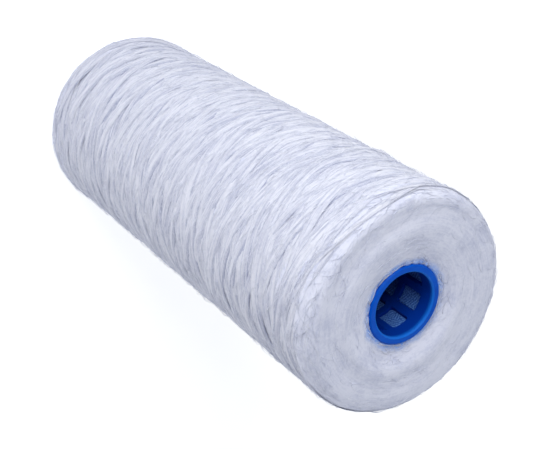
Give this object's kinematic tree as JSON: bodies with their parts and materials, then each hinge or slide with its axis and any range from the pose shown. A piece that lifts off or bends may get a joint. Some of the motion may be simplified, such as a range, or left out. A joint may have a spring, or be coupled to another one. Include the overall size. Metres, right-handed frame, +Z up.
{
  "type": "string-wound filter cartridge",
  "caption": "Depth filter cartridge: white fibrous yarn wound in crossing helices on a blue perforated plastic core, open at both ends.",
  "frame": {"origin": "centre of the lower yarn end face, which the cartridge stands on", "axes": "+Z up along the cartridge's axis; +X through the middle of a column of core windows"},
  "size_m": [0.0989, 0.099, 0.254],
  "materials": {
    "core_plastic": "satin",
    "yarn": "matte"
  },
  "bodies": {
    "root": {"core_lower_half": "core_plastic", "core_upper_half": "core_plastic", "yarn_inner_zone": "yarn", "yarn_middle_zone": "yarn", "yarn_outer_zone": "yarn", "yarn_last_wrap": "yarn"}
  },
  "joints": []
}
